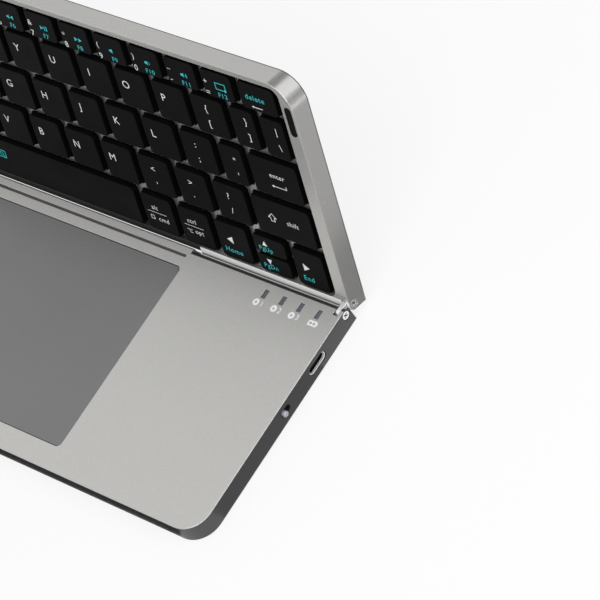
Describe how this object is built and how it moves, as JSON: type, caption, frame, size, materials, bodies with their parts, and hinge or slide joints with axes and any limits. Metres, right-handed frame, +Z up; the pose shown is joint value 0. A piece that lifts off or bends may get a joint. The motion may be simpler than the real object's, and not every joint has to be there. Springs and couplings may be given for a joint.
{
  "type": "folding keyboard",
  "caption": "A slim aluminium folding keyboard with black keys above a touchpad half, open at a steep angle on its two small side hinges.",
  "frame": {"origin": "On the table, under the middle of the front foot strip", "axes": "+X to the user's right, +Y away from the user, +Z up"},
  "size_m": [0.2492, 0.1278, 0.0909],
  "materials": {
    "graphite_shell": "anodised, satin",
    "aluminium_shell": "anodised, fine blasted",
    "touchpad_glass": "etched, smooth",
    "circuit_board": "solder mask",
    "bright_steel": "polished",
    "dark_screws": "blackened",
    "spring_steel": "bare",
    "insert_brass": "turned",
    "clear_plastic": "frosted",
    "switch_knob": "satin",
    "battery_foil": "foil",
    "rubber": "moulded",
    "silicone": "translucent",
    "deck_grey": "moulded",
    "black_plastic": "moulded",
    "keycap_black": "fine textured"
  },
  "bodies": {
    "touchpad_half": {"base_tray": "graphite_shell", "base_top_plate": "aluminium_shell", "base_bottom_cover": "graphite_shell", "touchpad_bracket": "spring_steel", "main_board": "circuit_board", "status_leds": "clear_plastic", "led_light_pipes": "clear_plastic", "usb_c_receptacle": "bright_steel", "power_switch_body": "bright_steel", "battery_pack": "battery_foil", "base_pivot_screws": "bright_steel", "base_pivot_inserts": "insert_brass", "base_friction_washers": "bright_steel", "base_magnets": "spring_steel", "base_cover_screws": "dark_screws", "base_feet": "rubber"},
    "touchpad": {"touchpad_glass": "touchpad_glass", "touchpad_board": "circuit_board"},
    "power_switch": {"power_switch_knob": "switch_knob"},
    "links": {"hinge_links": "bright_steel"},
    "keyboard_half": {"keyboard_frame": "aluminium_shell", "key_deck": "deck_grey", "dome_sheet": "silicone", "contact_membrane": "clear_plastic", "key_backplate": "spring_steel", "keyboard_bottom_cover": "aluminium_shell", "keyboard_hinge_cover": "black_plastic", "rim_pads": "rubber", "keyboard_pivot_screws": "bright_steel", "keyboard_pivot_inserts": "insert_brass", "keyboard_friction_washers": "bright_steel", "keyboard_magnets": "spring_steel", "keyboard_cover_screws": "dark_screws", "keyboard_feet": "rubber"},
    "key_esc_cap": {"key_esc": "keycap_black"},
    "key_delete_cap": {"key_delete": "keycap_black"},
    "key_tab_cap": {"key_tab": "keycap_black"},
    "key_backslash_cap": {"key_backslash": "keycap_black"},
    "key_caps_lock_cap": {"key_caps_lock": "keycap_black"},
    "key_enter_cap": {"key_enter": "keycap_black"},
    "key_shift_left_cap": {"key_shift_left": "keycap_black"},
    "key_shift_right_cap": {"key_shift_right": "keycap_black"},
    "key_fn_cap": {"key_fn": "keycap_black"},
    "key_control_left_cap": {"key_control_left": "keycap_black"},
    "key_option_left_cap": {"key_option_left": "keycap_black"},
    "key_command_left_cap": {"key_command_left": "keycap_black"},
    "key_space_cap": {"key_space": "keycap_black"},
    "key_command_right_cap": {"key_command_right": "keycap_black"},
    "key_option_right_cap": {"key_option_right": "keycap_black"},
    "key_arrow_left_cap": {"key_arrow_left": "keycap_black"},
    "key_arrow_up_cap": {"key_arrow_up": "keycap_black"},
    "key_arrow_down_cap": {"key_arrow_down": "keycap_black"},
    "key_arrow_right_cap": {"key_arrow_right": "keycap_black"},
    "keys_numbers_caps": {"keys_numbers": "keycap_black"},
    "keys_upper_letters_caps": {"keys_upper_letters": "keycap_black"},
    "keys_home_letters_caps": {"keys_home_letters": "keycap_black"},
    "keys_lower_letters_caps": {"keys_lower_letters": "keycap_black"}
  },
  "joints": [
    {"name": "link_fold", "type": "hinge", "parent": "touchpad_half", "child": "links", "pos_m": [0, 0.0792, 0.00575], "axis": [1, 0, 0], "range_deg": [0, 90]},
    {"name": "keyboard_fold", "type": "hinge", "parent": "links", "child": "keyboard_half", "pos_m": [0, 0.0842, 0.00575], "axis": [1, 0, 0], "range_deg": [-71.2, 18.8]},
    {"name": "touchpad_click", "type": "slide", "parent": "touchpad_half", "child": "touchpad", "axis": [0, 0, -1], "range_m": [0, 0.00025], "stiffness_N_per_m": 2500, "springref_m": -0.0005},
    {"name": "power_slide", "type": "slide", "parent": "touchpad_half", "child": "power_switch", "axis": [0, 1, 0], "range_m": [0, 0.002]},
    {"name": "key_esc_press", "type": "slide", "parent": "keyboard_half", "child": "key_esc_cap", "axis": [0, 0.9466, -0.3223], "range_m": [0, 0.0011], "stiffness_N_per_m": 400, "springref_m": -0.0006},
    {"name": "key_delete_press", "type": "slide", "parent": "keyboard_half", "child": "key_delete_cap", "axis": [0, 0.9466, -0.3223], "range_m": [0, 0.0011], "stiffness_N_per_m": 400, "springref_m": -0.0006},
    {"name": "key_tab_press", "type": "slide", "parent": "keyboard_half", "child": "key_tab_cap", "axis": [0, 0.9466, -0.3223], "range_m": [0, 0.0011], "stiffness_N_per_m": 400, "springref_m": -0.0006},
    {"name": "key_backslash_press", "type": "slide", "parent": "keyboard_half", "child": "key_backslash_cap", "axis": [0, 0.9466, -0.3223], "range_m": [0, 0.0011], "stiffness_N_per_m": 400, "springref_m": -0.0006},
    {"name": "key_caps_lock_press", "type": "slide", "parent": "keyboard_half", "child": "key_caps_lock_cap", "axis": [0, 0.9466, -0.3223], "range_m": [0, 0.0011], "stiffness_N_per_m": 400, "springref_m": -0.0006},
    {"name": "key_enter_press", "type": "slide", "parent": "keyboard_half", "child": "key_enter_cap", "axis": [0, 0.9466, -0.3223], "range_m": [0, 0.0011], "stiffness_N_per_m": 400, "springref_m": -0.0006},
    {"name": "key_shift_left_press", "type": "slide", "parent": "keyboard_half", "child": "key_shift_left_cap", "axis": [0, 0.9466, -0.3223], "range_m": [0, 0.0011], "stiffness_N_per_m": 400, "springref_m": -0.0006},
    {"name": "key_shift_right_press", "type": "slide", "parent": "keyboard_half", "child": "key_shift_right_cap", "axis": [0, 0.9466, -0.3223], "range_m": [0, 0.0011], "stiffness_N_per_m": 400, "springref_m": -0.0006},
    {"name": "key_fn_press", "type": "slide", "parent": "keyboard_half", "child": "key_fn_cap", "axis": [0, 0.9466, -0.3223], "range_m": [0, 0.0011], "stiffness_N_per_m": 400, "springref_m": -0.0006},
    {"name": "key_control_left_press", "type": "slide", "parent": "keyboard_half", "child": "key_control_left_cap", "axis": [0, 0.9466, -0.3223], "range_m": [0, 0.0011], "stiffness_N_per_m": 400, "springref_m": -0.0006},
    {"name": "key_option_left_press", "type": "slide", "parent": "keyboard_half", "child": "key_option_left_cap", "axis": [0, 0.9466, -0.3223], "range_m": [0, 0.0011], "stiffness_N_per_m": 400, "springref_m": -0.0006},
    {"name": "key_command_left_press", "type": "slide", "parent": "keyboard_half", "child": "key_command_left_cap", "axis": [0, 0.9466, -0.3223], "range_m": [0, 0.0011], "stiffness_N_per_m": 400, "springref_m": -0.0006},
    {"name": "key_space_press", "type": "slide", "parent": "keyboard_half", "child": "key_space_cap", "axis": [0, 0.9466, -0.3223], "range_m": [0, 0.0011], "stiffness_N_per_m": 400, "springref_m": -0.0006},
    {"name": "key_command_right_press", "type": "slide", "parent": "keyboard_half", "child": "key_command_right_cap", "axis": [0, 0.9466, -0.3223], "range_m": [0, 0.0011], "stiffness_N_per_m": 400, "springref_m": -0.0006},
    {"name": "key_option_right_press", "type": "slide", "parent": "keyboard_half", "child": "key_option_right_cap", "axis": [0, 0.9466, -0.3223], "range_m": [0, 0.0011], "stiffness_N_per_m": 400, "springref_m": -0.0006},
    {"name": "key_arrow_left_press", "type": "slide", "parent": "keyboard_half", "child": "key_arrow_left_cap", "axis": [0, 0.9466, -0.3223], "range_m": [0, 0.0011], "stiffness_N_per_m": 400, "springref_m": -0.0006},
    {"name": "key_arrow_up_press", "type": "slide", "parent": "keyboard_half", "child": "key_arrow_up_cap", "axis": [0, 0.9466, -0.3223], "range_m": [0, 0.0011], "stiffness_N_per_m": 400, "springref_m": -0.0006},
    {"name": "key_arrow_down_press", "type": "slide", "parent": "keyboard_half", "child": "key_arrow_down_cap", "axis": [0, 0.9466, -0.3223], "range_m": [0, 0.0011], "stiffness_N_per_m": 400, "springref_m": -0.0006},
    {"name": "key_arrow_right_press", "type": "slide", "parent": "keyboard_half", "child": "key_arrow_right_cap", "axis": [0, 0.9466, -0.3223], "range_m": [0, 0.0011], "stiffness_N_per_m": 400, "springref_m": -0.0006},
    {"name": "keys_numbers_press", "type": "slide", "parent": "keyboard_half", "child": "keys_numbers_caps", "axis": [0, 0.9466, -0.3223], "range_m": [0, 0.0011], "stiffness_N_per_m": 400, "springref_m": -0.0006},
    {"name": "keys_upper_letters_press", "type": "slide", "parent": "keyboard_half", "child": "keys_upper_letters_caps", "axis": [0, 0.9466, -0.3223], "range_m": [0, 0.0011], "stiffness_N_per_m": 400, "springref_m": -0.0006},
    {"name": "keys_home_letters_press", "type": "slide", "parent": "keyboard_half", "child": "keys_home_letters_caps", "axis": [0, 0.9466, -0.3223], "range_m": [0, 0.0011], "stiffness_N_per_m": 400, "springref_m": -0.0006},
    {"name": "keys_lower_letters_press", "type": "slide", "parent": "keyboard_half", "child": "keys_lower_letters_caps", "axis": [0, 0.9466, -0.3223], "range_m": [0, 0.0011], "stiffness_N_per_m": 400, "springref_m": -0.0006}
  ]
}
